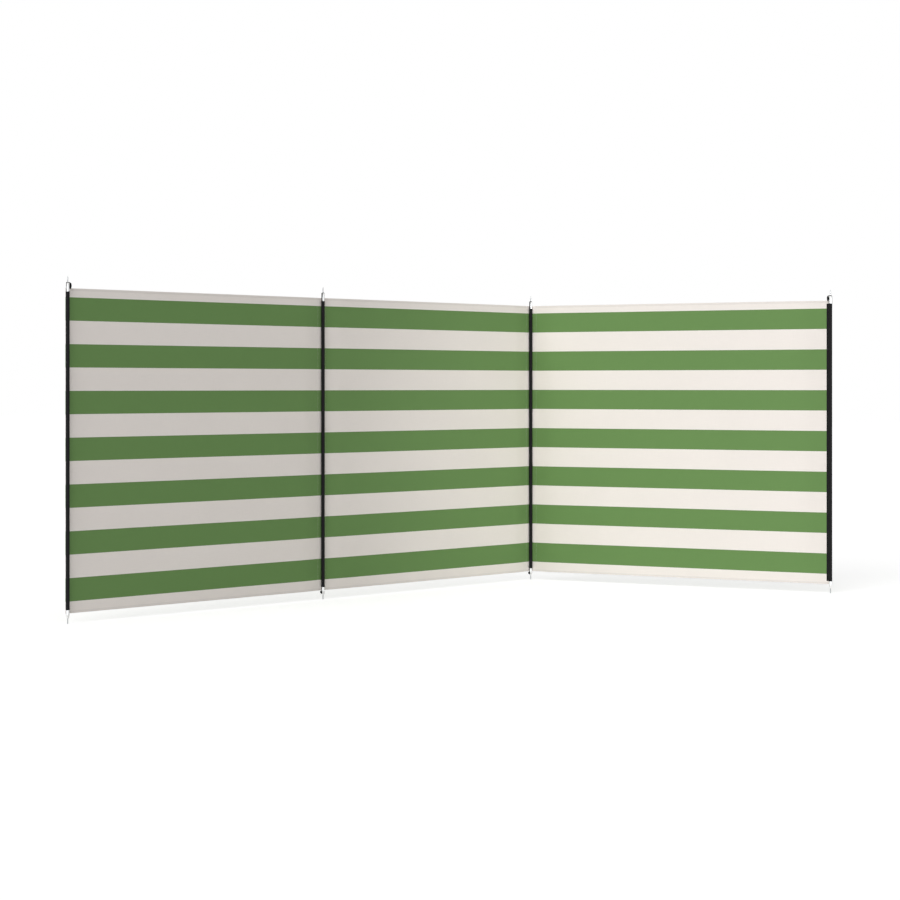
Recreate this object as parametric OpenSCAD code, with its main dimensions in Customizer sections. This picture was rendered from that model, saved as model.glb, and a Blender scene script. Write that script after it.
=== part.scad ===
// Beach windbreak: three bays of striped cloth on four steel poles, set up with one corner.
// The frame stands on the corner pole: the origin is on the flat underside of that pole's foot
// cap, +Z is up, the middle and left bays run along -X and the right bay along -Y.

/* [Cloth] */
// Distance between the axes of two neighbouring poles
bay_w = 1785; // [1200:10:2200]
// Height of one printed stripe
stripe_h = 101; // [60:1:125]
// Number of full stripes, the first and the last one green
stripes = 13; // [5:2:17]
// Plain band above the first green stripe
top_band = 39; // [20:1:80]
// Plain band below the last green stripe
bottom_band = 51; // [20:1:80]
// Thickness of the cloth
cloth_t = 1.2; // [1:0.1:3]
// Height of the folded hem along the top and bottom edges
hem_h = 11; // [6:1:16]
// Thickness of the folded hem
hem_t = 1.8; // [1.5:0.1:4]
// How far the end bays' cloth runs past the axis of the end pole
cloth_past_pole = 4; // [0:1:8]
// Turn of the right bay at the corner pole
corner_turn = 90; // [0:5:120]

/* [Poles] */
// Outside diameter of the steel tube
pole_d = 15; // [12:0.5:25]
// Wall of the steel tube
pole_wall = 0.8; // [0.6:0.1:1.5]
// Pole that shows above the sleeve, up to the flat top of its cap
tip_above = 37.5; // [25:0.5:60]
// Pole that shows below the sleeve, down to the flat underside of its cap
tip_below = 35; // [28:0.5:60]
// Height of the part of a cap that is as wide as the tube
cap_body_h = 9; // [6:0.5:16]
// Depth to which a cap's plug goes into the tube
plug_h = 15; // [10:1:30]
// Gap between the plug and the tube
plug_gap = 0.3; // [0.2:0.05:0.5]
// Radius of the rounding around a top cap's end
cap_round = 3.2; // [1:0.1:3.5]
// Diameter of the round foot under a foot cap's neck
foot_d = 12.4; // [11:0.1:14]
// Height of that foot
foot_h = 3; // [2:0.1:6]
// Diameter of the neck that the elastic loop hooks around
neck_d = 9.6; // [9:0.1:11]
// Height of the neck
neck_h = 5; // [4.6:0.1:10]

/* [Pins] */
// Diameter of the pin on top of a pole
pin_d = 4.5; // [3:0.1:5.5]
// Extra diameter of the pin's collar, which the elastic loop lies around
collar_more = 1.2; // [0.8:0.1:1.5]
// Length of the top pin above its cap
pin_l = 29.5; // [15:0.5:60]
// Diameter of the ground spike
spike_d = 5; // [3:0.1:6]
// Length of the ground spike below its cap
spike_l = 26; // [15:0.5:250]
// Length of the pointed end of a pin or spike
point_l = 6; // [3:0.5:10]
// Diameter of the shank that holds a pin or spike in its cap
shank_d = 6.4; // [6.2:0.1:7.5]
// Length of the shank
shank_l = 7; // [5:0.5:12]
// Depth of the shank's shoulder below the cap's face
shank_sink = 1; // [0.5:0.1:2]

/* [Sleeves] */
// Thickness of the sleeve's webbing
sleeve_t = 0.8; // [0.6:0.1:1.5]
// Gap between the pole and its sleeve
sleeve_gap = 0.3; // [0.2:0.05:1]
// Distance from the top edge of the cloth down to the sleeve
sleeve_down = 14.6; // [12:0.1:30]
// Distance from the bottom edge of the cloth up to the sleeve
sleeve_up = 15.7; // [12:0.1:30]
// Reach of an end sleeve's sewn flange over the cloth, from the pole's axis
flange_reach = 29.5; // [15:0.5:60]
// Thickness of that flange
flange_t = 0.7; // [0.5:0.1:0.7]

/* [Elastic loops] */
// Thickness of an elastic loop
loop_t = 0.8; // [0.6:0.1:1]
// Width of an elastic loop
loop_w = 7.2; // [5:0.1:10]
// Width of elastic left all round the hole that the pin's collar goes through
eyelet_rim = 0.4; // [0.3:0.1:1]
// Bulge of the gathered elastic beside an end pole's tip
gather_t = 6; // [2:0.5:10]

/* [Hidden] */
$fn = 48;

// Gap left where one piece is seated against another
seat = 0.3;

pole_r = pole_d / 2;
bore_r = pole_r - pole_wall;
sleeve_in = pole_r + sleeve_gap;
sleeve_out = sleeve_in + sleeve_t;
collar_r = (pin_d + collar_more) / 2;
// The cloth of an end bay passes this far behind the axis of the end pole
end_offset = cloth_t / 2 + seat + sleeve_out;
// All poles stand on the lines of the bays, so an end bay's cloth turns by this small angle
end_swing = asin(end_offset / bay_w);
end_reach = sqrt(bay_w * bay_w - end_offset * end_offset);
// The cloth of a bay starts this far from the axis of a pole that it folds around
fold_r = sleeve_out + seat;

// Heights above the underside of the foot caps
sleeve_z0 = tip_below;
cloth_z0 = sleeve_z0 - sleeve_up;
cloth_z1 = cloth_z0 + stripes * stripe_h + top_band + bottom_band;
sleeve_z1 = cloth_z1 - sleeve_down;
tip_z = sleeve_z1 + tip_above;
foot_cap_h = foot_h + neck_h + cap_body_h;

// The frame of the inner pole, and of the middle bay, which runs from it along +x
module at_inner() {
    translate([-bay_w, 0, 0]) children();
}
// The frame of an end bay: the pole that it folds around on z, -y to the front.
// The left bay runs along -x and the right bay along +x.
module at_left_bay() {
    at_inner() rotate(-end_swing) children();
}
module at_right_bay() {
    rotate(end_swing - corner_turn) children();
}
// The frame of an end pole: the pole's axis on z, -y to the front
module at_left_end() {
    at_left_bay() translate([-end_reach, -end_offset, 0]) children();
}
module at_right_end() {
    at_right_bay() translate([end_reach, -end_offset, 0]) children();
}

// A flat strip of cloth along x
module strip(x0, x1, z0, z1, t) {
    translate([x0, -t / 2, z0]) cube([x1 - x0, t, z1 - z0]);
}
module cloth(x0, x1) {
    color("#e4dcd6") strip(x0, x1, cloth_z0 + hem_h, cloth_z1 - hem_h, cloth_t);
}
module top_hem(x0, x1) {
    color("#cfc8c2") strip(x0, x1, cloth_z1 - hem_h, cloth_z1, hem_t);
}
module bottom_hem(x0, x1) {
    color("#cfc8c2") strip(x0, x1, cloth_z0, cloth_z0 + hem_h, hem_t);
}

module left_bay_cloth() { at_left_bay() cloth(-end_reach - cloth_past_pole, -fold_r); }
module left_bay_top_hem() { at_left_bay() top_hem(-end_reach - cloth_past_pole, -fold_r); }
module left_bay_bottom_hem() { at_left_bay() bottom_hem(-end_reach - cloth_past_pole, -fold_r); }
module middle_bay_cloth() { at_inner() cloth(fold_r, bay_w - fold_r); }
module middle_bay_top_hem() { at_inner() top_hem(fold_r, bay_w - fold_r); }
module middle_bay_bottom_hem() { at_inner() bottom_hem(fold_r, bay_w - fold_r); }
module right_bay_cloth() { at_right_bay() cloth(fold_r, end_reach + cloth_past_pole); }
module right_bay_top_hem() { at_right_bay() top_hem(fold_r, end_reach + cloth_past_pole); }
module right_bay_bottom_hem() { at_right_bay() bottom_hem(fold_r, end_reach + cloth_past_pole); }

// The steel tube, between the shoulders of its two caps
module pole() {
    color("#d9dcdd") translate([0, 0, foot_cap_h]) difference() {
        height = tip_z - cap_body_h - foot_cap_h;
        cylinder(r = pole_r, h = height);
        translate([0, 0, -1]) cylinder(r = bore_r, h = height + 2);
    }
}

// The plug in the tube's end, the round-edged cap over it, and the hole for the pin's shank
module top_cap() {
    body_z = tip_z - cap_body_h;
    color("#f2f2ef") difference() {
        rotate_extrude() {
            translate([0, body_z - plug_h]) square([bore_r - plug_gap, plug_h + cap_round]);
            translate([0, body_z]) square([pole_r, cap_body_h - cap_round]);
            translate([0, body_z]) square([pole_r - cap_round, cap_body_h]);
            translate([pole_r - cap_round, tip_z - cap_round]) circle(r = cap_round);
        }
        translate([0, 0, tip_z - shank_sink - shank_l - seat])
            cylinder(r = shank_d / 2 + seat, h = shank_sink + shank_l + seat + 1);
    }
}

// The plug, the cap's body, the neck that a loop hooks around, and the flat round foot
module foot_cap() {
    plug_r = bore_r - plug_gap;
    hole_r = shank_d / 2 + seat;
    neck_z = foot_h + neck_h;
    color("#f2f2ef") difference() {
        rotate_extrude() polygon([
            [0, 0], [foot_d / 2, 0], [foot_d / 2, foot_h], [neck_d / 2, foot_h],
            [neck_d / 2, neck_z], [pole_r, neck_z], [pole_r, foot_cap_h],
            [plug_r, foot_cap_h], [plug_r, foot_cap_h + plug_h], [0, foot_cap_h + plug_h]
        ]);
        translate([0, 0, -1]) cylinder(r = hole_r, h = 1 + shank_sink + shank_l + seat);
    }
}

// A round pin standing on z = 0, with a point, and a thicker shank sunk below
module pin(d, length) {
    rotate_extrude() polygon([
        [0, -shank_sink - shank_l], [shank_d / 2, -shank_sink - shank_l],
        [shank_d / 2, -shank_sink], [d / 2, -shank_sink],
        [d / 2, length - point_l], [d / 4, length], [0, length]
    ]);
}
module top_pin() {
    color("#c3c6c8") translate([0, 0, tip_z]) {
        pin(pin_d, pin_l);
        cylinder(r = collar_r, h = 2 * seat + loop_t);
    }
}
module ground_spike() {
    color("#c3c6c8") mirror([0, 0, 1]) pin(spike_d, spike_l);
}

// A round sleeve of black webbing around the pole
module sleeve_tube(r) {
    translate([0, 0, sleeve_z0]) cylinder(r = r, h = sleeve_z1 - sleeve_z0);
}
module fold_sleeve() {
    color("#2b2b2d") difference() {
        sleeve_tube(sleeve_out);
        translate([0, 0, -1]) cylinder(r = sleeve_in, h = sleeve_z1 + 2);
    }
}

// The sleeve of an end pole, with the flange that is sewn to the cloth; side is 1 or -1
module end_sleeve(side) {
    color("#2b2b2d") difference() {
        union() {
            sleeve_tube(sleeve_out);
            mirror([side < 0 ? 1 : 0, 0, 0])
                translate([-cloth_past_pole, sleeve_out - flange_t, sleeve_z0])
                cube([cloth_past_pole + flange_reach, flange_t, sleeve_z1 - sleeve_z0]);
        }
        translate([0, 0, -1]) cylinder(r = sleeve_in, h = sleeve_z1 + 2);
    }
}

// The elastic loop from the sleeve's top edge over the cap, with the pin through it
module top_loop() {
    crown_z = tip_z + seat + loop_t;
    leg_in = pole_r + seat;
    eyelet_r = collar_r + seat;
    intersection() {
        difference() {
            translate([0, 0, sleeve_z1 + seat])
                cylinder(r = leg_in + loop_t, h = crown_z - sleeve_z1 - seat);
            translate([0, 0, sleeve_z1 - 1]) cylinder(r = leg_in, h = tip_z + seat - sleeve_z1 + 1);
            translate([0, 0, tip_z - 1]) cylinder(r = eyelet_r, h = crown_z - tip_z + 2);
        }
        union() {
            translate([-pole_d, -loop_w / 2, sleeve_z1])
                cube([2 * pole_d, loop_w, crown_z - sleeve_z1 + 1]);
            translate([0, 0, tip_z]) cylinder(r = eyelet_r + eyelet_rim, h = crown_z - tip_z + seat);
        }
    }
}
module fold_top_loop() {
    color("#242426") top_loop();
}

// An end pole's loop is gathered into a thick bunch on the cloth's side
module end_top_loop(side) {
    leg_in = pole_r + seat;
    gather_z = cloth_z1 + hem_h / 2;
    color("#242426") {
        top_loop();
        mirror([side < 0 ? 1 : 0, 0, 0]) rotate([90, 0, 0])
            linear_extrude(loop_w, center = true) intersection() {
                translate([0, gather_z]) circle(r = leg_in + gather_t);
                translate([leg_in + loop_t / 4, cloth_z1 + seat])
                    square([gather_t + 1, tip_z - cloth_z1 - seat]);
            }
    }
}

// The elastic loop from the sleeve's bottom edge, hooked around the back of the cap's neck
module foot_loop() {
    leg_in = pole_r + seat;
    low_z = foot_h + seat;
    high_z = foot_h + neck_h - seat;
    color("#242426") {
        intersection() {
            difference() {
                translate([0, 0, low_z]) cylinder(r = leg_in + loop_t, h = sleeve_z0 - seat - low_z);
                cylinder(r = leg_in, h = sleeve_z0 + 1);
            }
            translate([-pole_d, -loop_w / 2, 0]) cube([2 * pole_d, loop_w, sleeve_z0]);
        }
        intersection() {
            difference() {
                translate([0, 0, low_z]) cylinder(r = leg_in + loop_t, h = high_z - low_z);
                cylinder(r = neck_d / 2 + seat, h = high_z + 1);
            }
            translate([-pole_d, -loop_w / 2, 0]) cube([2 * pole_d, 2 * pole_d, high_z]);
        }
    }
}

module left_end_pole() { at_left_end() pole(); }
module left_end_top_cap() { at_left_end() top_cap(); }
module left_end_top_pin() { at_left_end() top_pin(); }
module left_end_foot_cap() { at_left_end() foot_cap(); }
module left_end_ground_spike() { at_left_end() ground_spike(); }
module left_end_sleeve() { at_left_end() end_sleeve(1); }
module left_end_top_loop() { at_left_end() end_top_loop(1); }

module inner_pole() { at_inner() pole(); }
module inner_top_cap() { at_inner() top_cap(); }
module inner_top_pin() { at_inner() top_pin(); }
module inner_foot_cap() { at_inner() foot_cap(); }
module inner_ground_spike() { at_inner() ground_spike(); }
module inner_sleeve() { at_inner() fold_sleeve(); }
module inner_top_loop() { at_inner() fold_top_loop(); }
module inner_foot_loop() { at_inner() foot_loop(); }

module corner_pole() { pole(); }
module corner_top_cap() { top_cap(); }
module corner_top_pin() { top_pin(); }
module corner_foot_cap() { foot_cap(); }
module corner_ground_spike() { ground_spike(); }
module corner_sleeve() { fold_sleeve(); }
module corner_top_loop() { fold_top_loop(); }
module corner_foot_loop() { foot_loop(); }

module right_end_pole() { at_right_end() pole(); }
module right_end_top_cap() { at_right_end() top_cap(); }
module right_end_top_pin() { at_right_end() top_pin(); }
module right_end_foot_cap() { at_right_end() foot_cap(); }
module right_end_ground_spike() { at_right_end() ground_spike(); }
module right_end_sleeve() { at_right_end() end_sleeve(-1); }
module right_end_top_loop() { at_right_end() end_top_loop(-1); }

left_bay_cloth();
left_bay_top_hem();
left_bay_bottom_hem();
middle_bay_cloth();
middle_bay_top_hem();
middle_bay_bottom_hem();
right_bay_cloth();
right_bay_top_hem();
right_bay_bottom_hem();
left_end_pole();
left_end_top_cap();
left_end_top_pin();
left_end_foot_cap();
left_end_ground_spike();
left_end_sleeve();
left_end_top_loop();
inner_pole();
inner_top_cap();
inner_top_pin();
inner_foot_cap();
inner_ground_spike();
inner_sleeve();
inner_top_loop();
inner_foot_loop();
corner_pole();
corner_top_cap();
corner_top_pin();
corner_foot_cap();
corner_ground_spike();
corner_sleeve();
corner_top_loop();
corner_foot_loop();
right_end_pole();
right_end_top_cap();
right_end_top_pin();
right_end_foot_cap();
right_end_ground_spike();
right_end_sleeve();
right_end_top_loop();
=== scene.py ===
import math

import bmesh
import bpy
from mathutils import Matrix, Vector, noise


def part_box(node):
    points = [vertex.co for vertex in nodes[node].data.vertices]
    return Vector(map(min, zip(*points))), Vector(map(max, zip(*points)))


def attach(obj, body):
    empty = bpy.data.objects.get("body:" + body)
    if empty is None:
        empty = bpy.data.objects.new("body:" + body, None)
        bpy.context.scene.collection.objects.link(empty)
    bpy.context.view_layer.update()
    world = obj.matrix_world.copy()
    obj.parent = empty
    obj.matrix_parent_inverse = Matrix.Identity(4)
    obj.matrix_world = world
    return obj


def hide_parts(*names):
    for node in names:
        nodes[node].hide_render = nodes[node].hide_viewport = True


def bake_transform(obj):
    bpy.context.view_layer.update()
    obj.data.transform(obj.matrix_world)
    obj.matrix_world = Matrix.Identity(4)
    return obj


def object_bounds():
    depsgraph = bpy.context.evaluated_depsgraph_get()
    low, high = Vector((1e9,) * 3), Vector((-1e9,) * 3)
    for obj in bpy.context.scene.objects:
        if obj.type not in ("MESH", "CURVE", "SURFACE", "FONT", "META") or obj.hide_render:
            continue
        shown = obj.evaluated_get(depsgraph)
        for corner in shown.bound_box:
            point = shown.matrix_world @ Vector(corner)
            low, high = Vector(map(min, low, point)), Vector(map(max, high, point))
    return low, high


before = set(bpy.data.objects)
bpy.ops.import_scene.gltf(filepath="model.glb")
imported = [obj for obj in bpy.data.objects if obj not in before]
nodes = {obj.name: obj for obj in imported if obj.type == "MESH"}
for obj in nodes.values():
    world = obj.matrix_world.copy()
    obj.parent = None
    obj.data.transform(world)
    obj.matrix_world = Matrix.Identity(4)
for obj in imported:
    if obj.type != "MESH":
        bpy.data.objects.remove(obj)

cad_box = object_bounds()


# ---- Camera ----
# Stands at chest height off the left end of the windbreak, and looks level into the corner.
# The lens is long, so the bays' edges come together only slowly.
camera_data = bpy.data.cameras.new("camera")
camera_data.sensor_width = 36
camera_data.lens = 117.86
camera_data.shift_y = -0.0719
camera_data.clip_end = 300
camera = bpy.data.objects.new("camera", camera_data)
camera.location = (-12.9432, -8.7106, 1.0033)
camera.rotation_euler = (math.radians(90), 0, math.radians(35.509 - 90))
bpy.context.scene.collection.objects.link(camera)
bpy.context.scene.camera = camera


# ---- Studio ----
# A pale floor and a white surround. One broad soft lamp stands far off to the left, so that it falls
# squarely on the right bay and only grazes the other two. A spot lamp in front brightens the corner.
view = bpy.context.scene.view_settings
view.view_transform = "Standard"


def new_node(tree, kind, **settings):
    """Adds a shader node and sets its properties."""
    made = tree.nodes.new(kind)
    for key, value in settings.items():
        setattr(made, key, value)
    return made


def feed(tree, socket, value):
    """Links a node's output to a socket, or sets the socket to a plain value."""
    if isinstance(value, bpy.types.NodeSocket):
        tree.links.new(value, socket)
    else:
        socket.default_value = value


def maths(tree, operation, *values):
    """One Math node, fed with sockets or numbers."""
    made = new_node(tree, "ShaderNodeMath", operation=operation)
    for socket, value in zip(made.inputs, values):
        feed(tree, socket, value)
    return made.outputs[0]


def seen_directly(tree):
    """1 for rays from the camera, a mirror or glass, and 0 for the light that falls on things."""
    path = new_node(tree, "ShaderNodeLightPath")
    seen = maths(tree, "MAXIMUM", path.outputs["Is Camera Ray"], path.outputs["Is Glossy Ray"])
    return maths(tree, "MAXIMUM", seen, path.outputs["Is Transmission Ray"])


surround_light = 0.48
world = bpy.data.worlds.new("studio")
world.use_nodes = True
bpy.context.scene.world = world
sky = world.node_tree
sky.nodes.clear()
lit_by = new_node(sky, "ShaderNodeBackground")
feed(sky, lit_by.inputs["Strength"], surround_light)
feed(sky, lit_by.inputs["Color"], (1, 1, 1, 1))
backdrop = new_node(sky, "ShaderNodeBackground")
feed(sky, backdrop.inputs["Strength"], 1)
feed(sky, backdrop.inputs["Color"], (1, 1, 1, 1))
choose = new_node(sky, "ShaderNodeMixShader")
feed(sky, choose.inputs[0], seen_directly(sky))
feed(sky, choose.inputs[1], lit_by.outputs[0])
feed(sky, choose.inputs[2], backdrop.outputs[0])
feed(sky, new_node(sky, "ShaderNodeOutputWorld").inputs["Surface"], choose.outputs[0])

lamp_data = bpy.data.lights.new("soft_lamp", "SUN")
lamp_data.energy = 0.54 * math.pi
lamp_data.angle = math.radians(50)
lamp = bpy.data.objects.new("soft_lamp", lamp_data)
towards_lamp = Vector((-0.90, -0.20, 0.39))
lamp.rotation_euler = towards_lamp.to_track_quat("Z", "Y").to_euler()
bpy.context.scene.collection.objects.link(lamp)

corner_lamp_data = bpy.data.lights.new("corner_lamp", "SPOT")
corner_lamp_data.energy = 810
corner_lamp_data.shadow_soft_size = 0.4
corner_lamp_data.spot_blend = 1.0
corner_lamp = bpy.data.objects.new("corner_lamp", corner_lamp_data)
corner_lamp.location = (-0.9, -10.0, 1.6)
lit_centre = Vector((0.5, 0.0, 0.7))
lit_radius = 2.4
lamp_throw = lit_centre - corner_lamp.location
corner_lamp_data.spot_size = 2 * math.atan(lit_radius / lamp_throw.length)
corner_lamp.rotation_euler = lamp_throw.to_track_quat("-Z", "Y").to_euler()
bpy.context.scene.collection.objects.link(corner_lamp)

floor_z = cad_box[0][2]
floor_reach = 60
floor_lift = 0.5
floor_mesh = bmesh.new()
bmesh.ops.create_grid(floor_mesh, x_segments=1, y_segments=1, size=floor_reach)
bmesh.ops.translate(floor_mesh, verts=floor_mesh.verts, vec=(0, 0, floor_z))
floor_data = bpy.data.meshes.new("floor")
floor_mesh.to_mesh(floor_data)
floor_mesh.free()
floor = bpy.data.objects.new("floor", floor_data)
bpy.context.scene.collection.objects.link(floor)
floor_finish = bpy.data.materials.new("pale_floor")
floor_finish.use_nodes = True
ground = floor_finish.node_tree
ground.nodes.clear()
ground_diffuse = new_node(ground, "ShaderNodeBsdfDiffuse")
feed(ground, ground_diffuse.inputs["Color"], (0.8, 0.8, 0.8, 1))
ground_lift = new_node(ground, "ShaderNodeEmission")
feed(ground, ground_lift.inputs["Strength"], maths(ground, "MULTIPLY", seen_directly(ground), floor_lift))
ground_sum = new_node(ground, "ShaderNodeAddShader")
feed(ground, ground_sum.inputs[0], ground_diffuse.outputs[0])
feed(ground, ground_sum.inputs[1], ground_lift.outputs[0])
feed(ground, new_node(ground, "ShaderNodeOutputMaterial").inputs["Surface"], ground_sum.outputs[0])
floor_data.materials.append(floor_finish)


# ---- Striped cloth ----
# One length of plain-woven cloth in five pieces runs behind all four poles, dyed in bands along its
# length. It is drawn tight, so it lies almost flat, and it bends round the two poles it folds at.
def axis_of(node):
    """Where the upright axis of a round piece stands on the floor."""
    low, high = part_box(node)
    return Vector(((low[0] + high[0]) / 2, (low[1] + high[1]) / 2, 0))


def width_of(node, axis):
    """A piece's size along one axis: 0 is x, 1 is y and 2 is z."""
    low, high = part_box(node)
    return high[axis] - low[axis]


inner_axis = axis_of("inner_pole")
corner_axis = axis_of("corner_pole")
bay_width = corner_axis.x - inner_axis.x
cloth_low, cloth_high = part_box("middle_bay_cloth")
cloth_thickness = cloth_high[1] - cloth_low[1]
hem_height = cloth_low[2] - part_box("middle_bay_bottom_hem")[0][2]
cloth_bottom = cloth_low[2] - hem_height
cloth_top = cloth_high[2] + hem_height
sleeve_radius = width_of("inner_sleeve", 0) / 2
seat = 0.0003
past_end_pole = 0.004

# The right and left bays turn a little about the fold poles, to pass behind the end poles
end_offset = cloth_thickness / 2 + seat + sleeve_radius
end_swing = math.asin(end_offset / bay_width)
end_reach = math.sqrt(bay_width ** 2 - end_offset ** 2)
bay_frame = {
    "left": Matrix.Translation(inner_axis) @ Matrix.Rotation(-end_swing, 4, "Z"),
    "middle": Matrix.Translation(inner_axis),
    "right": Matrix.Translation(corner_axis) @ Matrix.Rotation(end_swing - math.radians(90), 4, "Z"),
}

# Behind a fold pole the cloth eases back from the line of the poles until it clears the sleeve
sleeve_gap = 0.0005
behind_radius = sleeve_radius + sleeve_gap + cloth_thickness / 2
ease_length = 0.150

# The ripple starts at the first distance from a pole and grows over the second. Its waves are counted
# per metre, along the cloth and up it
ripple_height = 0.0011
ripple_by_fold = (0.08, 0.35)
ripple_by_end = (0.06, 0.3)
long_ripple = (1.1, 3.2)
short_ripple = (2.6, 9.0)
short_share = 0.35
ripple_seed = {"left": 3.0, "middle": 11.0, "right": 19.0}


def ease_back(distance):
    """How far behind the line of the poles the cloth runs, at a distance from a fold pole."""
    if distance >= ease_length:
        return 0.0
    return behind_radius * (1 + math.cos(math.pi * distance / ease_length)) / 2


def fade_in(distance, start, length):
    """0 up to start, then a smooth rise to 1."""
    t = min(max((distance - start) / length, 0.0), 1.0)
    return t * t * (3 - 2 * t)


def on_bay(bay, along, height, out=0.0):
    """A point on a bay's cloth. Along runs from the bay's own fold pole, and out is towards the back."""
    fold_distances = [abs(along)]
    if bay == "middle":
        fold_distances.append(bay_width - along)
        end_distance = bay_width
    else:
        end_distance = end_reach - abs(along)
    back = sum(ease_back(distance) for distance in fold_distances)
    rippled = fade_in(min(fold_distances), *ripple_by_fold) * fade_in(end_distance, *ripple_by_end)
    seed = ripple_seed[bay]
    long_wave = noise.noise(Vector((along * long_ripple[0], height * long_ripple[1], seed)))
    short_wave = noise.noise(Vector((along * short_ripple[0], height * short_ripple[1], seed + 40)))
    back += ripple_height * rippled * (long_wave + short_share * short_wave)
    return bay_frame[bay] @ Vector((along, back + out, height))


# The two wraps reach this far from their poles along both bays
inner_reach = 0.045
corner_reach = 0.070
corner_arc = behind_radius * (math.radians(90) - end_swing)


def round_inner_pole(along, height, out=0.0):
    """A point on the cloth behind the inner pole. Along is negative on the left bay."""
    return on_bay("left" if along < 0 else "middle", along, height, out)


def round_corner_pole(along, height, out=0.0):
    """A point on the cloth round the outside of the corner pole, from the middle bay to the right bay."""
    if along < 0:
        return on_bay("middle", bay_width + along, height, out)
    if along > corner_arc:
        return on_bay("right", along - corner_arc, height, out)
    angle = math.radians(90) - along / behind_radius
    radius = behind_radius + out
    return corner_axis + Vector((radius * math.cos(angle), radius * math.sin(angle), height))


# Each stretch of cloth: the way it runs, its two ends, where its threads start, and its columns
stretches = {
    "left_bay": (
        lambda along, height, out=0.0: on_bay("left", along, height, out),
        -end_reach - past_end_pole, -inner_reach, -bay_width, 140,
    ),
    "inner_wrap": (round_inner_pole, -inner_reach, inner_reach, -bay_width, 50),
    "middle_bay": (
        lambda along, height, out=0.0: on_bay("middle", along, height, out),
        inner_reach, bay_width - corner_reach, -bay_width, 140,
    ),
    "corner_wrap": (round_corner_pole, -corner_reach, corner_arc + corner_reach, 0.0, 110),
    "right_bay": (
        lambda along, height, out=0.0: on_bay("right", along, height, out),
        corner_reach, end_reach + past_end_pole, corner_arc, 140,
    ),
}
cloth_rows = 90


def bent_grid(columns, rows, place, uv_name, uv_place, flip=False):
    """A flat grid with its UV map in metres, bent into place. Both callbacks take fractions 0 to 1.
    Its outer face is on the right of someone who walks its first way with its second way up, and flip
    turns it over."""
    mesh = bmesh.new()
    bmesh.ops.create_grid(mesh, x_segments=columns, y_segments=rows, size=0.5)
    layer = mesh.loops.layers.uv.new(uv_name)
    for face in mesh.faces:
        for loop in face.loops:
            loop[layer].uv = uv_place(loop.vert.co.x + 0.5, loop.vert.co.y + 0.5)
    for vertex in mesh.verts:
        vertex.co = place(vertex.co.x + 0.5, vertex.co.y + 0.5)
    if flip:
        bmesh.ops.reverse_faces(mesh, faces=mesh.faces[:])
    return mesh


def thicken(mesh, thickness):
    """Gives an open skin a wall behind its outer face."""
    mesh.normal_update()
    bmesh.ops.solidify(mesh, geom=mesh.faces[:], thickness=thickness)


sharp_corner = math.radians(50)


def make_piece(name, mesh, *materials):
    """Turns a finished bmesh into an object with smooth faces and sharp corners."""
    data = bpy.data.meshes.new(name)
    mesh.to_mesh(data)
    mesh.free()
    for material in materials:
        data.materials.append(material)
    data.shade_smooth()
    data.set_sharp_from_angle(angle=sharp_corner)
    made = bpy.data.objects.new(name, data)
    bpy.context.scene.collection.objects.link(made)
    return made


def new_material(name):
    """A material with its Principled shader, ready to be fed."""
    material = bpy.data.materials.new(name)
    material.use_nodes = True
    tree = material.node_tree
    shader = next(n for n in tree.nodes if n.type == "BSDF_PRINCIPLED")
    return material, tree, shader


def noise_at(tree, vector, scale, detail=2.0):
    """A noise texture's value, 0 to 1."""
    made = new_node(tree, "ShaderNodeTexNoise")
    feed(tree, made.inputs["Vector"], vector)
    feed(tree, made.inputs["Scale"], scale)
    feed(tree, made.inputs["Detail"], detail)
    return made.outputs["Fac"]


def vector_of(tree, x, y, z=0.0):
    """A vector from three sockets or numbers."""
    made = new_node(tree, "ShaderNodeCombineXYZ")
    for socket, value in zip(made.inputs, (x, y, z)):
        feed(tree, socket, value)
    return made.outputs[0]


def spread(tree, value, low, high):
    """Stretches a value from 0..1 to low..high."""
    made = new_node(tree, "ShaderNodeMapRange")
    feed(tree, made.inputs["Value"], value)
    feed(tree, made.inputs["To Min"], low)
    feed(tree, made.inputs["To Max"], high)
    return made.outputs[0]


def shaded(tree, colour, *factors):
    """A colour multiplied by grey factors."""
    for factor in factors:
        made = new_node(tree, "ShaderNodeVectorMath", operation="SCALE")
        feed(tree, made.inputs[0], colour)
        feed(tree, made.inputs["Scale"], factor)
        colour = made.outputs[0]
    return colour


def raised(tree, shader, height, distance, strength):
    """Bumps a shader's surface."""
    made = new_node(tree, "ShaderNodeBump")
    feed(tree, made.inputs["Height"], height)
    feed(tree, made.inputs["Distance"], distance)
    feed(tree, made.inputs["Strength"], strength)
    feed(tree, shader.inputs["Normal"], made.outputs[0])


cloth_white = (0.900, 0.842, 0.800)
cloth_green = (0.152, 0.278, 0.093)
stripe_height = 0.101
stripe_count = 13
bottom_band = 0.051
stripes_bottom = cloth_bottom + bottom_band
thread_pitch = 0.0007
# How often a yarn's colour changes in a metre, along the yarn and from yarn to yarn
along_yarn = 18
across_yarns = 1100


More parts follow.
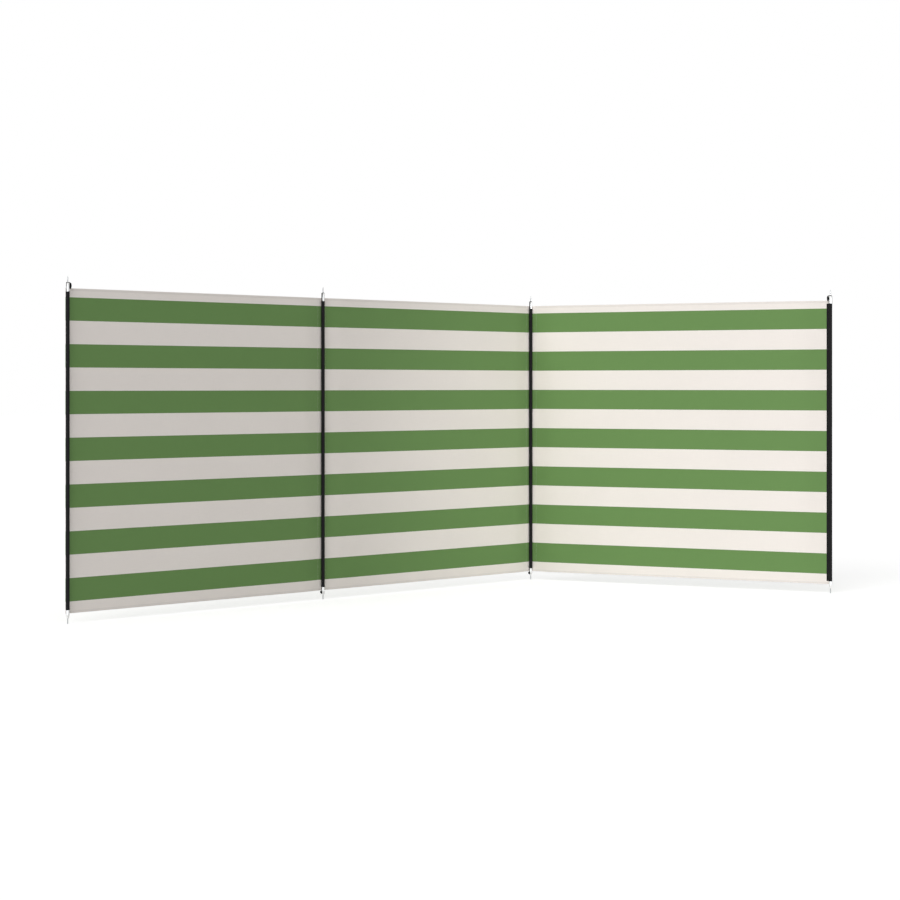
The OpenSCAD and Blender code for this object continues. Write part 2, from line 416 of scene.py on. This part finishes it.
def woven_cloth(name, striped, painted_shade_factor):
    """Plain-woven cloth: threads over and under each other, uneven yarn, and the dyed bands if striped. Its
    colour is multiplied by painted_shade_factor, which is painted shade wherever it is below 1.
    """
    material, tree, shader = new_material(name)
    flat = new_node(tree, "ShaderNodeSeparateXYZ")
    feed(tree, flat.inputs[0], new_node(tree, "ShaderNodeUVMap", uv_map="cloth").outputs[0])
    across, up = flat.outputs[0], flat.outputs[1]
    yarn_across = noise_at(tree, vector_of(
        tree, maths(tree, "MULTIPLY", across, along_yarn), maths(tree, "MULTIPLY", up, across_yarns)), 1.0)
    yarn_up = noise_at(tree, vector_of(
        tree, maths(tree, "MULTIPLY", across, across_yarns), maths(tree, "MULTIPLY", up, along_yarn)), 1.0)
    cloudy = noise_at(tree, vector_of(tree, across, up), 2.2, 3.0)
    colour = new_node(tree, "ShaderNodeMix", data_type="RGBA")
    feed(tree, colour.inputs[6], (*cloth_white, 1))
    feed(tree, colour.inputs[7], (*cloth_green, 1))
    feed(tree, colour.inputs[0], 0.0)
    if striped:
        # The dye creeps a fraction of a millimetre along the threads at a band's edge
        creep = spread(tree, noise_at(tree, vector_of(tree, across, up), 700.0), -0.0003, 0.0003)
        band = maths(tree, "DIVIDE", maths(tree, "SUBTRACT", maths(tree, "ADD", up, creep), stripes_bottom),
                     stripe_height)
        odd = maths(tree, "LESS_THAN", maths(tree, "FRACT", maths(tree, "MULTIPLY", band, 0.5)), 0.5)
        above = maths(tree, "GREATER_THAN", band, 0.0)
        below = maths(tree, "LESS_THAN", band, float(stripe_count))
        feed(tree, colour.inputs[0], maths(tree, "MULTIPLY", odd, maths(tree, "MULTIPLY", above, below)))
    # The first factor is painted shade: 1 on the striped sheet, lower on the hems.
    toned = shaded(tree, colour.outputs[2], painted_shade_factor, spread(tree, yarn_across, 0.955, 1.045),
                   spread(tree, yarn_up, 0.965, 1.035), spread(tree, cloudy, 0.975, 1.025))
    feed(tree, shader.inputs["Base Color"], toned)
    feed(tree, shader.inputs["Roughness"], spread(tree, cloudy, 0.78, 0.88))
    shader.inputs["Specular IOR Level"].default_value = 0.10
    shader.inputs["Sheen Weight"].default_value = 0.03
    turn = math.pi / thread_pitch
    wave_across = maths(tree, "SINE", maths(tree, "MULTIPLY", across, turn))
    wave_up = maths(tree, "SINE", maths(tree, "MULTIPLY", up, turn))
    on_top = maths(tree, "GREATER_THAN", maths(tree, "MULTIPLY", wave_across, wave_up), 0.0)
    crossing = new_node(tree, "ShaderNodeMix", data_type="FLOAT")
    feed(tree, crossing.inputs[0], on_top)
    feed(tree, crossing.inputs[2], maths(tree, "ABSOLUTE", wave_up))
    feed(tree, crossing.inputs[3], maths(tree, "ABSOLUTE", wave_across))
    raised(tree, shader, crossing.outputs[0], 0.00012, 0.5)
    return material


striped_cloth = woven_cloth("striped_cloth", True, 1.0)
# How far the sheet's edge is tucked up inside its folded hem
tuck = 0.002


def sheet_height(fraction):
    """How high a row of the sheet lies, between the tucks in its two hems."""
    return cloth_bottom + tuck + (cloth_top - cloth_bottom - 2 * tuck) * fraction


cloth_pieces = {}
for stretch, (way, start, end, threads, columns) in stretches.items():
    def cloth_place(a, b):
        return way(start + (end - start) * a, sheet_height(b), -cloth_thickness / 2)

    def cloth_uv(a, b):
        return (threads + start + (end - start) * a, sheet_height(b))

    sheet_mesh = bent_grid(columns, cloth_rows, cloth_place, "cloth", cloth_uv)
    thicken(sheet_mesh, cloth_thickness)
    cloth_pieces[stretch] = make_piece(stretch + "_sheet", sheet_mesh, striped_cloth)


# ---- Hems ----
# Along its top and bottom edges the cloth is folded over and sewn down with one row of straight
# stitches in pale thread. Upright rows beside the fold poles hold the sleeves' webbing on behind.
hem_radius = width_of("middle_bay_top_hem", 1) / 2
hem_skin = 0.0003
# The hem cloth is the plain white cloth painted 7% darker: painted shade for the folded top and bottom edges.
hem_cloth_painted_shade = woven_cloth("hem_cloth_painted_shade", False, 0.93)
stitch_pitch = 0.0042
stitch_length = 0.0030
stitch_width = 0.00055
hem_stitch_inset = 0.0025
# A stitch lies this far proud of the cloth, and is aimed at the spot this far ahead of it
thread_proud = 0.0001
look_ahead = 0.001
seam_from_pole = 0.030
seam_inset = 1.5 * hem_height


def sewing_thread(name, colour):
    """Twisted sewing thread: fine slanting plies and slightly uneven colour."""
    material, tree, shader = new_material(name)
    place = new_node(tree, "ShaderNodeTexCoord").outputs["Object"]
    uneven = noise_at(tree, place, 600.0)
    feed(tree, shader.inputs["Base Color"], shaded(tree, (*colour,), spread(tree, uneven, 0.88, 1.08)))
    shader.inputs["Roughness"].default_value = 0.6
    raised(tree, shader, noise_at(tree, place, 4000.0), 0.0001, 0.4)
    return material


pale_thread = sewing_thread("pale_thread", (0.74, 0.70, 0.66))


def evenly(first, last, count):
    """The middles of equal steps between two values."""
    return [first + (number + 0.5) * (last - first) / count for number in range(count)]


def sew(spots):
    """Stitches at a list of (centre, direction): short fat threads that dip into the cloth at both ends."""
    mesh = bmesh.new()
    size = Matrix.Diagonal((stitch_length / 2, stitch_width / 2, stitch_width / 2, 1))
    bmesh.ops.create_uvsphere(mesh, u_segments=5, v_segments=3, radius=1, matrix=size)
    number = mesh.verts.layers.int.new("stitch")
    made = 1
    while made < len(spots):
        copied = bmesh.ops.duplicate(mesh, geom=mesh.verts[:] + mesh.edges[:] + mesh.faces[:])
        for element in copied["geom"]:
            if isinstance(element, bmesh.types.BMVert):
                element[number] += made
        made *= 2
    spare = [vertex for vertex in mesh.verts if vertex[number] >= len(spots)]
    bmesh.ops.delete(mesh, geom=spare, context="VERTS")
    placed = [Matrix.Translation(centre) @ direction.to_track_quat("X", "Z").to_matrix().to_4x4()
              for centre, direction in spots]
    for vertex in mesh.verts:
        vertex.co = placed[vertex[number]] @ vertex.co
    mesh.verts.layers.int.remove(number)
    return mesh


def join_in(target, extra, material_index):
    """Adds one bmesh to another, with its faces in the given material slot."""
    for face in extra.faces:
        face.material_index = material_index
    holder = bpy.data.meshes.new("holder")
    extra.to_mesh(holder)
    extra.free()
    target.from_mesh(holder)
    bpy.data.meshes.remove(holder)


hem_leg = hem_height - hem_radius
hem_fold_length = math.pi * hem_radius
hem_rows = 20
leg_share = 0.3
fold_share = 0.4


def hem_run(fraction):
    """How far across the hem's cloth a row lies; the middle two fifths of the rows are round the fold."""
    if fraction < leg_share:
        return hem_leg * fraction / leg_share
    if fraction > leg_share + fold_share:
        return hem_leg + hem_fold_length + hem_leg * (fraction - leg_share - fold_share) / leg_share
    return hem_leg + hem_fold_length * (fraction - leg_share) / fold_share


def hem_profile(fraction):
    """Across a folded hem, from its front edge over the fold to its back edge: (rise, out)."""
    run = hem_run(fraction)
    if run < hem_leg:
        return run, -hem_radius
    if run > hem_leg + hem_fold_length:
        return 2 * hem_leg + hem_fold_length - run, hem_radius
    angle = (run - hem_leg) / hem_radius
    return hem_leg + hem_radius * math.sin(angle), -hem_radius * math.cos(angle)


hem_pieces = {}
for stretch, (way, start, end, threads, columns) in stretches.items():
    for edge, base, rise in (("top", cloth_top - hem_height, 1), ("bottom", cloth_bottom + hem_height, -1)):
        def hem_place(a, b):
            up, out = hem_profile(b)
            return way(start + (end - start) * a, base + rise * up, out)

        def hem_uv(a, b):
            return (threads + start + (end - start) * a, base + hem_run(b))

        hem_mesh = bent_grid(columns, hem_rows, hem_place, "cloth", hem_uv, flip=rise < 0)
        thicken(hem_mesh, hem_skin)
        spots = []
        stitch_height = base + rise * hem_stitch_inset
        for along in evenly(start, end, int((end - start) / stitch_pitch)):
            for out in (-hem_radius - thread_proud, hem_radius + thread_proud):
                centre = way(along, stitch_height, out)
                spots.append((centre, way(along + look_ahead, stitch_height, out) - centre))
        join_in(hem_mesh, sew(spots), 1)
        hem_pieces[stretch, edge] = make_piece(f"{stretch}_{edge}_hem_fold", hem_mesh, hem_cloth_painted_shade, pale_thread)

# The upright seams beside the fold poles
seam_pieces = {}
for stretch, seams in (("inner_wrap", (-seam_from_pole, seam_from_pole)),
                       ("corner_wrap", (-seam_from_pole, corner_arc + seam_from_pole))):
    way = stretches[stretch][0]
    spots = []
    seam_low = cloth_bottom + seam_inset
    seam_high = cloth_top - seam_inset
    for along in seams:
        for height in evenly(seam_low, seam_high, int((seam_high - seam_low) / stitch_pitch)):
            for out in (-cloth_thickness / 2 - thread_proud, cloth_thickness / 2 + thread_proud):
                spots.append((way(along, height, out), Vector((0, 0, 1))))
    seam_pieces[stretch] = make_piece(stretch + "_seams", sew(spots), pale_thread)

# Every piece of cloth on a bay goes with its bay; the two wraps stay where they are, with their transforms
# baked in
for stretch in stretches:
    hems = [hem_pieces[stretch, "top"], hem_pieces[stretch, "bottom"]]
    extras = hems + ([seam_pieces[stretch]] if stretch in seam_pieces else [])
    for piece in [cloth_pieces[stretch]] + extras:
        if stretch == "inner_wrap":
            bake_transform(piece)
        elif stretch == "corner_wrap":
            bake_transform(piece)
        else:
            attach(piece, stretch)
    if stretch.endswith("_bay"):
        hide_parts(stretch + "_cloth")
        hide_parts(stretch + "_top_hem")
        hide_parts(stretch + "_bottom_hem")
    start, end = stretches[stretch][1:3]


# ---- Sleeves ----
# Black nylon webbing closed into a tube round each pole, with its ends turned in and sewn. On the two
# end poles the webbing runs on past the pole as a flat flange, sewn to the front of the cloth.
sleeve_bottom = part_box("inner_sleeve")[0][2]
sleeve_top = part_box("inner_sleeve")[1][2]
sleeve_skin = 0.0005
turned_end = 0.012
rib_pitch = 0.0011
sleeve_slack = 0.00015
sleeve_crease = 0.00016
turned_stitch_inset = turned_end - 0.003
stitch_sink = 0.0002


def black_webbing(name, colour, pitch, roughness):
    """Flat-woven black webbing: slanted ribs that meet in a herringbone, with a dull nylon shine. Its colour
    is darker in the grooves between the ribs and lighter on their crests: painted shade and painted
    highlight.
    """
    material, tree, shader = new_material(name)
    flat = new_node(tree, "ShaderNodeSeparateXYZ")
    feed(tree, flat.inputs[0], new_node(tree, "ShaderNodeUVMap", uv_map="webbing").outputs[0])
    across, up = flat.outputs[0], flat.outputs[1]
    zigzag = maths(tree, "PINGPONG", across, pitch * 4)
    ribs = maths(tree, "ABSOLUTE", maths(tree, "SINE", maths(
        tree, "MULTIPLY", maths(tree, "ADD", up, zigzag), math.pi / pitch)))
    worn = noise_at(tree, vector_of(tree, across, up), 45.0, 4.0)
    # Painted shade in the grooves between the ribs and a painted highlight on their crests; the worn noise is
    # random tone.
    feed(tree, shader.inputs["Base Color"], shaded(
        tree, (*colour,), spread(tree, ribs, 0.75, 1.2), spread(tree, worn, 0.85, 1.15)))
    feed(tree, shader.inputs["Roughness"], spread(tree, worn, roughness - 0.08, roughness + 0.1))
    shader.inputs["Specular IOR Level"].default_value = 0.09
    raised(tree, shader, ribs, 0.0002, 0.6)
    return material


sleeve_webbing = black_webbing("sleeve_webbing", (0.0095, 0.0095, 0.0105), rib_pitch, 0.50)
black_thread = sewing_thread("black_thread", (0.022, 0.022, 0.024))


def sleeve_dent(height, angle, seed):
    """How far the webbing falls short of its full radius: it is fullest at the turned and sewn ends."""
    from_end = min(height - sleeve_bottom, sleeve_top - height)
    slack = sleeve_slack * fade_in(from_end, turned_end - 0.001, 0.002)
    crease = noise.noise(Vector((math.cos(angle) * 0.9, math.sin(angle) * 0.9, height * 9 + seed)))
    return slack + sleeve_crease * (0.5 + 0.5 * crease) * fade_in(from_end, turned_end, 0.03)


def end_stitches(centre, radius, first, last):
    """The rows of stitches round the two turned ends of a sleeve, between two angles."""
    spots = []
    count = int((last - first) * radius / stitch_pitch)
    for height in (sleeve_bottom + turned_stitch_inset, sleeve_top - turned_stitch_inset):
        for angle in evenly(first, last, count):
            side = Vector((math.cos(angle), math.sin(angle), 0))
            spots.append((centre + radius * side + Vector((0, 0, height)), Vector((-side.y, side.x, 0))))
    return spots


sleeve_rows = 130
sleeve_columns = 40
for pole, seed in (("inner", 2.0), ("corner", 7.0)):
    centre = axis_of(pole + "_pole")

    def sleeve_place(a, b):
        angle = math.radians(90) + math.tau * a
        height = sleeve_bottom + (sleeve_top - sleeve_bottom) * b
        radius = sleeve_radius - sleeve_dent(height, angle, seed)
        return centre + Vector((radius * math.cos(angle), radius * math.sin(angle), height))

    def sleeve_uv(a, b):
        return (math.tau * sleeve_radius * a, (sleeve_top - sleeve_bottom) * b)

    sleeve_mesh = bent_grid(sleeve_columns, sleeve_rows, sleeve_place, "webbing", sleeve_uv)
    bmesh.ops.remove_doubles(sleeve_mesh, verts=sleeve_mesh.verts[:], dist=0.00001)
    thicken(sleeve_mesh, sleeve_skin)
    spots = end_stitches(centre, sleeve_radius - stitch_sink, math.radians(180), math.radians(360))
    join_in(sleeve_mesh, sew(spots), 1)
    sleeve = make_piece(pole + "_sleeve_webbing", sleeve_mesh, sleeve_webbing, black_thread)
    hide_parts(pole + "_sleeve")
    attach(sleeve, "middle_bay")

# The end sleeves: out along the back of the flange, round the pole, and back along its front
flange_meet = 0.014
flange_back = sleeve_radius
flange_front = sleeve_radius - 0.0010
meet_distance = math.hypot(flange_meet, flange_front)
leave_angle = math.atan2(flange_front, flange_meet) - math.acos(sleeve_radius / meet_distance)
wrap_turn = math.radians(270) + leave_angle
leave_point = (sleeve_radius * math.cos(leave_angle), sleeve_radius * math.sin(leave_angle))
slope_length = math.hypot(flange_meet - leave_point[0], flange_front - leave_point[1])
wrap_run = sleeve_radius * wrap_turn
flange_margin = 0.003
end_columns = 96


def end_section(run, flange_reach):
    """A point across an end sleeve's webbing: (towards the cloth, towards the back, angle or None)."""
    if run < flange_reach:
        return flange_reach - run, flange_back, None
    run -= flange_reach
    if run < wrap_run:
        angle = math.radians(90) + run / sleeve_radius
        return sleeve_radius * math.cos(angle), sleeve_radius * math.sin(angle), angle
    run -= wrap_run
    if run < slope_length:
        t = run / slope_length
        return (leave_point[0] + t * (flange_meet - leave_point[0]),
                leave_point[1] + t * (flange_front - leave_point[1]), None)
    return flange_meet + run - slope_length, flange_front, None


# Each end pole: the side its cloth is on, its bay, how far its flange reaches from the pole's axis, where
# the rows of stitches run, and the seed of its creases
end_sleeves = (
    ("left_end", 1, "left", 0.0205, (0.0175,), 21.0),
    ("right_end", -1, "right", 0.0260, (0.0165, 0.0230), 33.0),
)
for pole, side, bay, flange_reach, stitch_rows, seed in end_sleeves:
    centre = axis_of(pole + "_pole")
    facing = bay_frame[bay].to_3x3().to_4x4()
    whole_run = 2 * flange_reach - flange_meet + wrap_run + slope_length

    def end_place(a, b):
        towards_cloth, back, angle = end_section(a * whole_run, flange_reach)
        height = sleeve_bottom + (sleeve_top - sleeve_bottom) * b
        if angle is not None:
            radius = sleeve_radius - sleeve_dent(height, angle, seed)
            towards_cloth = radius * math.cos(angle)
            back = radius * math.sin(angle)
        return centre + facing @ Vector((side * towards_cloth, back, height))

    def end_uv(a, b):
        return (whole_run * a, (sleeve_top - sleeve_bottom) * b)

    end_mesh = bent_grid(end_columns, sleeve_rows, end_place, "webbing", end_uv, flip=side < 0)
    thicken(end_mesh, sleeve_skin)
    spots = []
    flange_count = int((sleeve_top - sleeve_bottom - 2 * flange_margin) / stitch_pitch)
    for across in stitch_rows:
        for number in range(flange_count):
            height = sleeve_bottom + flange_margin + (number + 0.5) * stitch_pitch
            spot = centre + facing @ Vector((side * across, flange_front - thread_proud, height))
            spots.append((spot, Vector((0, 0, 1))))
    join_in(end_mesh, sew(spots), 1)
    end_sleeve = make_piece(pole + "_sleeve_webbing", end_mesh, sleeve_webbing, black_thread)
    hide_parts(pole + "_sleeve")
    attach(end_sleeve, bay + "_bay")


# ---- Elastic loops ----
# A flat black elastic is sewn to each sleeve's top edge and stretched over the pole's cap, with the
# cap's pin through a slit in it. On the end poles its slack is gathered beside the cap.
cap_radius = width_of("inner_top_cap", 0) / 2
cap_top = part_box("inner_top_cap")[1][2]
loop_width = width_of("inner_top_loop", 1)
elastic_skin = 0.0006
cap_gap = 0.0002
sewn_gap = 0.0001
leg_radius = cap_radius + cap_gap + elastic_skin
loop_corner = 0.0034
crown_puff = 0.0021
crown_half = 0.0066
slit_radius = 0.00315
loop_flat = leg_radius - loop_corner
loop_crown = cap_top + seat + elastic_skin
loop_leg = loop_crown - loop_corner - sleeve_top - sewn_gap
loop_run = 2 * (loop_flat + loop_corner * math.pi / 2 + loop_leg)
elastic_webbing = black_webbing("elastic_webbing", (0.007, 0.007, 0.0078), 0.0007, 0.65)


def loop_point(run):
    """A point along the middle of the loop's outside: (sideways, height). Run is 0 over the pin."""
    distance = abs(run)
    sign = 1 if run > 0 else -1
    if distance < loop_flat:
        return run, loop_crown
    distance -= loop_flat
    if distance < loop_corner * math.pi / 2:
        angle = distance / loop_corner
        return (sign * (loop_flat + loop_corner * math.sin(angle)),
                loop_crown - loop_corner * (1 - math.cos(angle)))
    return sign * (loop_flat + loop_corner), loop_crown - loop_corner - (distance - loop_corner * math.pi / 2)


loop_columns = 220
loop_rows = 4
narrow_from = slit_radius + 0.0005
narrow_over = 0.009


def loop_half(half, drawn_thin):
    """One half of the elastic's width, from the slit to its edge; half is 1 or -1. Drawn thin is the share
    of its width that it loses by stretching down the side away from the cloth."""
    def place(a, b):
        run = (a - 0.5) * loop_run
        sideways, height = loop_point(run)
        slit = math.sqrt(max(slit_radius ** 2 - run ** 2, 0))
        edge = loop_width / 2 * (1 - drawn_thin * fade_in(-run, narrow_from, narrow_over))
        across = half * (slit + b * (edge - slit))
        # The elastic follows the round of the pole
        return Vector((sideways * math.sqrt(1 - (across / leg_radius) ** 2), across, height))

    def uv(a, b):
        return (half * b * loop_width / 2, a * loop_run)

    return bent_grid(loop_columns, loop_rows, place, "webbing", uv, flip=half < 0)


bunch_segments = 28
ridge_count = 7
ridge_depth = 0.12
bunch_widening = 1.15


def bunch(path, radius):
    """Gathered elastic: a ball drawn out along a path, thin at both ends, with ridges along it."""
    mesh = bmesh.new()
    bmesh.ops.create_uvsphere(mesh, u_segments=bunch_segments, v_segments=bunch_segments, radius=1)
    layer = mesh.loops.layers.uv.new("webbing")
    for face in mesh.faces:
        for loop in face.loops:
            turn = math.atan2(loop.vert.co.y, loop.vert.co.x)
            loop[layer].uv = (turn * 0.003, loop.vert.co.z * 0.012)
    for vertex in mesh.verts:
        t = math.acos(max(-1.0, min(1.0, vertex.co.z))) / math.pi
        turn = math.atan2(vertex.co.y, vertex.co.x)
        ring = math.hypot(vertex.co.x, vertex.co.y)
        spot, normal = path(t)
        swell = 0.0
        if ring > 1e-6:
            swell = radius(t) * ring ** 0.35 * (1 + ridge_depth * math.cos(ridge_count * turn))
        sideways = bunch_widening * math.sin(turn) * Vector((0, 1, 0))
        vertex.co = spot + swell * (math.cos(turn) * normal + sideways)
    bmesh.ops.recalc_face_normals(mesh, faces=mesh.faces[:])
    return mesh


gather_low = cloth_top - 0.0045
gather_side = 0.0129
gather_front = -0.00365
gather_rise = 0.0052
arc_share = 0.35
shoulder = Vector((0.0043, 0, cap_top - 0.0032))


def gather_path(t):
    """From the top of an end pole's cap, over its shoulder and down on the cloth's side, a little in
    front of the pole's axis."""
    if t < arc_share:
        angle = math.radians(90) * (1 - t / arc_share)
        side = (gather_side - shoulder.x) * math.cos(angle)
        spot = shoulder + Vector((side, 0, gather_rise * math.sin(angle)))
    else:
        angle = 0.0
        side = gather_side - shoulder.x
        spot = shoulder + Vector((side, 0, (gather_low - shoulder.z) * (t - arc_share) / (1 - arc_share)))
    spot.y = gather_front * side / (gather_side - shoulder.x)
    return spot, Vector((math.cos(angle), 0, math.sin(angle)))


def gather_radius(t):
    """Thin on top of the cap, fullest two thirds of the way down."""
    return 0.0014 + 0.0033 * fade_in(t, 0.05, 0.5) - 0.0006 * fade_in(t, 0.75, 0.25)


for pole, body, bay, side in (("left_end", "left_bay", "left", 1), ("inner", "middle_bay", "middle", 1),
                              ("corner", "middle_bay", "middle", 1), ("right_end", "right_bay", "right", -1)):
    drawn_thin = 0.68 if pole.endswith("_end") else 0.0
    loop_mesh = loop_half(1, drawn_thin)
    join_in(loop_mesh, loop_half(-1, drawn_thin), 0)
    bmesh.ops.remove_doubles(loop_mesh, verts=loop_mesh.verts[:], dist=0.000005)
    thicken(loop_mesh, elastic_skin)
    # Drawn in between the shoulders, the elastic stands up thicker over the top of the cap
    for vertex in loop_mesh.verts:
        if vertex.co.z > cap_top + seat + 0.6 * elastic_skin:
            vertex.co.z += crown_puff * max(1 - (vertex.co.x / crown_half) ** 2, 0.0)
    if pole.endswith("_end"):
        join_in(loop_mesh, bunch(gather_path, gather_radius), 0)
    turned = Matrix.Translation(axis_of(pole + "_pole")) @ bay_frame[bay].to_3x3().to_4x4()
    if side < 0:
        bmesh.ops.scale(loop_mesh, vec=(-1, 1, 1), verts=loop_mesh.verts)
        bmesh.ops.reverse_faces(loop_mesh, faces=loop_mesh.faces[:])
    bmesh.ops.transform(loop_mesh, matrix=turned, verts=loop_mesh.verts)
    loop_piece = make_piece(pole + "_top_elastic", loop_mesh, elastic_webbing)
    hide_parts(pole + "_top_loop")
    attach(loop_piece, body)

# The foot loops: two thin legs down the sides of the foot, joined behind it at the height of its neck,
# with the slack of the left one gathered into a small knob just under the cloth
foot_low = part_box("inner_foot_loop")[0][2]
foot_leg_width = 0.0026
foot_hook_height = 0.0030
foot_leg_flare = {-1: 0.0004, 1: 0.0016}
foot_leg_run = 0.03
knob_top = Vector((-leg_radius - 0.0030, 0.0022, cloth_bottom - 0.0006))
knob_bottom = Vector((-leg_radius - 0.0046, 0.0030, foot_low + 0.0016))


def foot_bunch_path(t):
    """Slanting down from the left leg just under the cloth's bottom edge."""
    return knob_top + (knob_bottom - knob_top) * t, Vector((1, 0, -0.12)).normalized()


def foot_bunch_radius(t):
    """Fullest in the middle."""
    return 0.0024 + 0.0017 * math.sin(math.pi * t)


def leg_place(sign):
    """The way down one side of the foot; it stands out a little below the cloth's edge."""
    def place(a, b):
        height = foot_low + (sleeve_bottom - sewn_gap - foot_low) * a
        low_share = min((height - foot_low) / (cloth_bottom - 0.001 - foot_low), 1.0)
        flare = foot_leg_flare[sign] * math.sin(math.pi * low_share)
        across = (b - 0.5) * foot_leg_width
        return Vector((sign * (math.sqrt(leg_radius ** 2 - across ** 2) + flare), across, height))
    return place


def hook_place(a, b):
    """Half way round behind the foot, from one leg to the other."""
    angle = math.pi * a
    height = foot_low + foot_hook_height * b
    return Vector((leg_radius * math.cos(angle), leg_radius * math.sin(angle), height))


def leg_uv(a, b):
    """The thin elastic laid flat."""
    return (b * foot_leg_width, a * foot_leg_run)


for pole in ("inner", "corner"):
    foot_mesh = bent_grid(30, 6, leg_place(-1), "webbing", leg_uv)
    join_in(foot_mesh, bent_grid(30, 6, leg_place(1), "webbing", leg_uv, flip=True), 0)
    join_in(foot_mesh, bent_grid(40, 4, hook_place, "webbing", leg_uv), 0)
    thicken(foot_mesh, elastic_skin)
    join_in(foot_mesh, bunch(foot_bunch_path, foot_bunch_radius), 0)
    bmesh.ops.translate(foot_mesh, verts=foot_mesh.verts, vec=axis_of(pole + "_pole"))
    foot_piece = make_piece(pole + "_foot_elastic", foot_mesh, elastic_webbing)
    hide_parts(pole + "_foot_loop")
    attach(foot_piece, "middle_bay")


# ---- Poles, caps and pins ----
# Drawn steel tube with a bright zinc coat, closed at both ends by moulded white caps. Turned steel
# pins are pressed into the caps: a long blunt one on top and the ground spike below.
def bright_steel(name, colour, roughness, ring_scale):
    """Turned or drawn steel: fine rings or lines, a cloudy coat and small rubbed spots, and a dark edge tint
    that is painted shade along its outlines.
    """
    material, tree, shader = new_material(name)
    place = new_node(tree, "ShaderNodeTexCoord").outputs["Object"]
    parts = new_node(tree, "ShaderNodeSeparateXYZ")
    feed(tree, parts.inputs[0], place)
    across_scale, up_scale = ring_scale
    lines = noise_at(tree, vector_of(tree, *[
        maths(tree, "MULTIPLY", part, scale)
        for part, scale in zip(parts.outputs, (across_scale, across_scale, up_scale))]), 1.0)
    cloudy = noise_at(tree, place, 90.0, 4.0)
    feed(tree, shader.inputs["Base Color"], shaded(
        tree, (*colour,), spread(tree, lines, 0.93, 1.05), spread(tree, cloudy, 0.94, 1.04)))
    feed(tree, shader.inputs["Roughness"], spread(tree, cloudy, roughness - 0.06, roughness + 0.08))
    shader.inputs["Metallic"].default_value = 1.0
    # The dark edge tint darkens the steel towards its outlines: painted shade standing in for darker
    # reflections at the edges.
    shader.inputs["Specular Tint"].default_value = (0.25, 0.25, 0.26, 1)
    raised(tree, shader, lines, 0.00005, 0.4)
    return material


def moulded_plastic(name, colour):
    """White moulded plastic with a faint sparked grain and a little dust in it."""
    material, tree, shader = new_material(name)
    place = new_node(tree, "ShaderNodeTexCoord").outputs["Object"]
    dust = noise_at(tree, place, 120.0, 4.0)
    feed(tree, shader.inputs["Base Color"], shaded(tree, (*colour,), spread(tree, dust, 0.95, 1.03)))
    feed(tree, shader.inputs["Roughness"], spread(tree, dust, 0.45, 0.58))
    shader.inputs["Specular IOR Level"].default_value = 0.18
    raised(tree, shader, noise_at(tree, place, 3500.0), 0.00006, 0.35)
    return material


tube_steel = bright_steel("zinc_coated_tube", (0.80, 0.81, 0.82), 0.34, (900.0, 12.0))
pin_steel = bright_steel("turned_steel_pin", (0.42, 0.43, 0.44), 0.33, (15.0, 3500.0))
cap_plastic = moulded_plastic("white_cap_plastic", (0.86, 0.86, 0.85))
for pole in ("left_end", "inner", "corner", "right_end"):
    for part, finish in (("pole", tube_steel), ("top_cap", cap_plastic), ("foot_cap", cap_plastic),
                         ("top_pin", pin_steel), ("ground_spike", pin_steel)):
        for holder in nodes[f"{pole}_{part}"].material_slots:
            holder.material = finish
